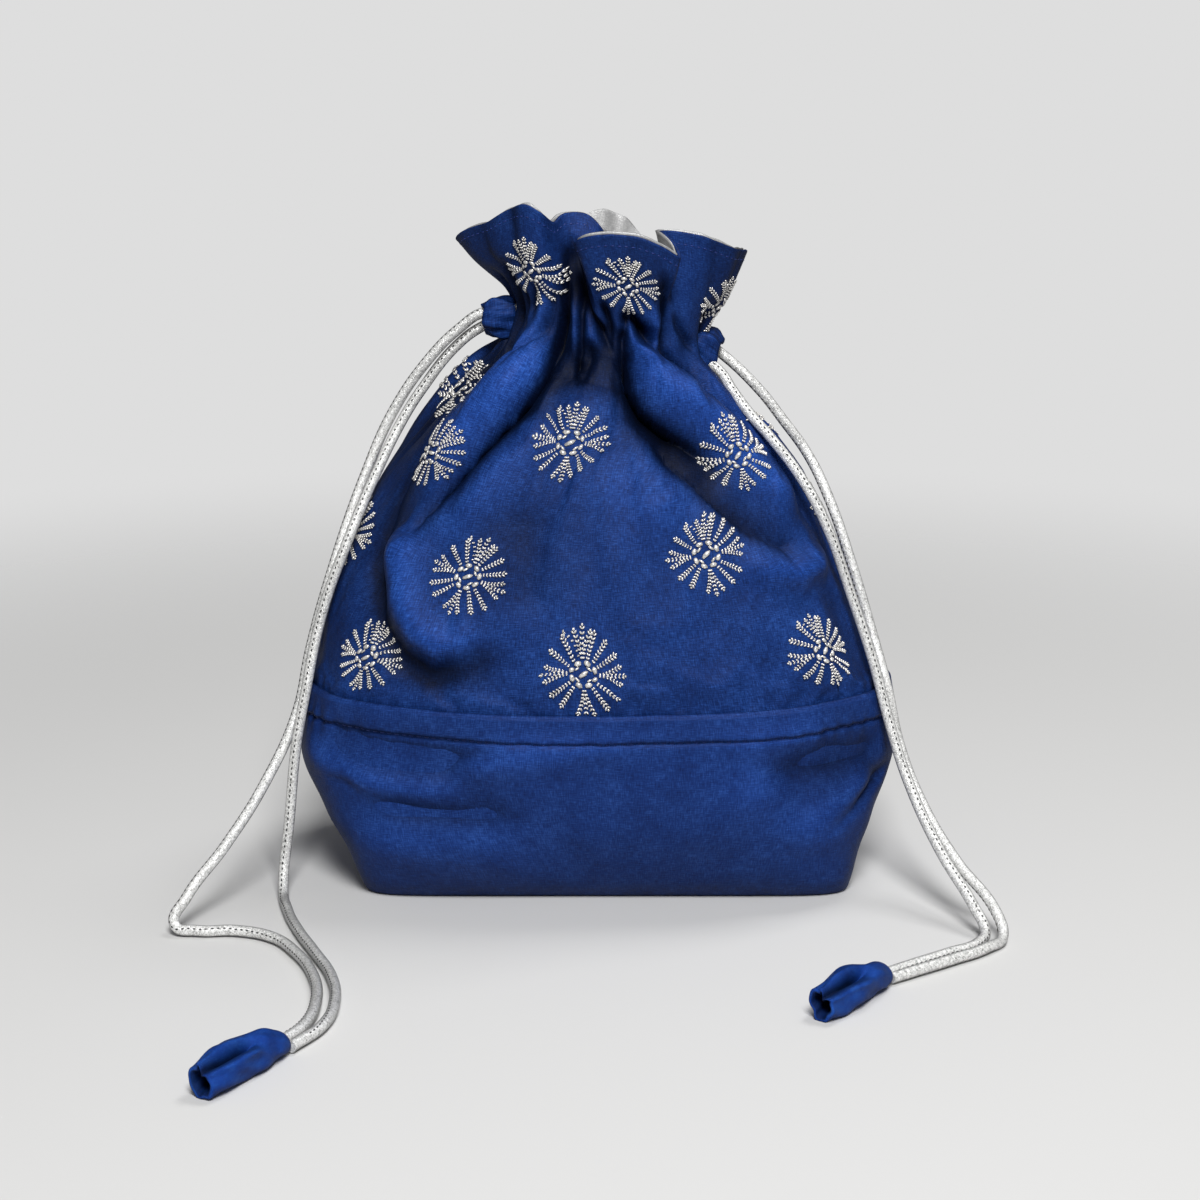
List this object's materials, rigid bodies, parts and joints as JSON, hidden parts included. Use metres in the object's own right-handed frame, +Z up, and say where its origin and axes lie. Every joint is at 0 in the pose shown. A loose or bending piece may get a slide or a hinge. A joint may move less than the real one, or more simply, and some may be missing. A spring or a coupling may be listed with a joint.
{
  "type": "potli drawstring bag",
  "caption": "Gathered potli drawstring bag with embroidered upper cloth, plain boxed lower panel, flared ruffle, pale lining and silver cords with cloth pods.",
  "frame": {"origin": "middle of the bag's box at the floor it stands on, cords and pods left out", "axes": "+Z up, the bag's front towards -Y, +X to the viewer's right"},
  "size_m": [0.2652, 0.2568, 0.2276],
  "materials": {
    "embroidered_cloth": "blue silk-like woven cloth with soft sheen",
    "panel_cloth": "plain blue woven cloth with soft sheen",
    "lining_cloth": "pale silver satin",
    "silver_cord": "smooth silver coated piping cord",
    "silver_thread": "metallic silver embroidery thread"
  },
  "bodies": {
    "root": {"upper_body": "embroidered_cloth", "lower_panel": "panel_cloth", "lining": "lining_cloth", "drawstring_left": "silver_cord", "drawstring_right": "silver_cord", "cord_end_left": "panel_cloth", "cord_end_right": "panel_cloth", "sprig_low_1": "silver_thread", "sprig_low_2": "silver_thread", "sprig_low_3": "silver_thread", "sprig_low_4": "silver_thread", "sprig_low_5": "silver_thread", "sprig_low_6": "silver_thread", "sprig_low_7": "silver_thread", "sprig_low_8": "silver_thread", "sprig_middle_1": "silver_thread", "sprig_middle_2": "silver_thread", "sprig_middle_3": "silver_thread", "sprig_middle_4": "silver_thread", "sprig_middle_5": "silver_thread", "sprig_middle_6": "silver_thread", "sprig_high_1": "silver_thread", "sprig_high_2": "silver_thread", "sprig_high_3": "silver_thread", "sprig_high_4": "silver_thread", "sprig_high_5": "silver_thread", "sprig_high_6": "silver_thread", "sprig_ruffle_1": "silver_thread", "sprig_ruffle_2": "silver_thread", "sprig_ruffle_3": "silver_thread", "sprig_ruffle_4": "silver_thread"}
  },
  "joints": []
}
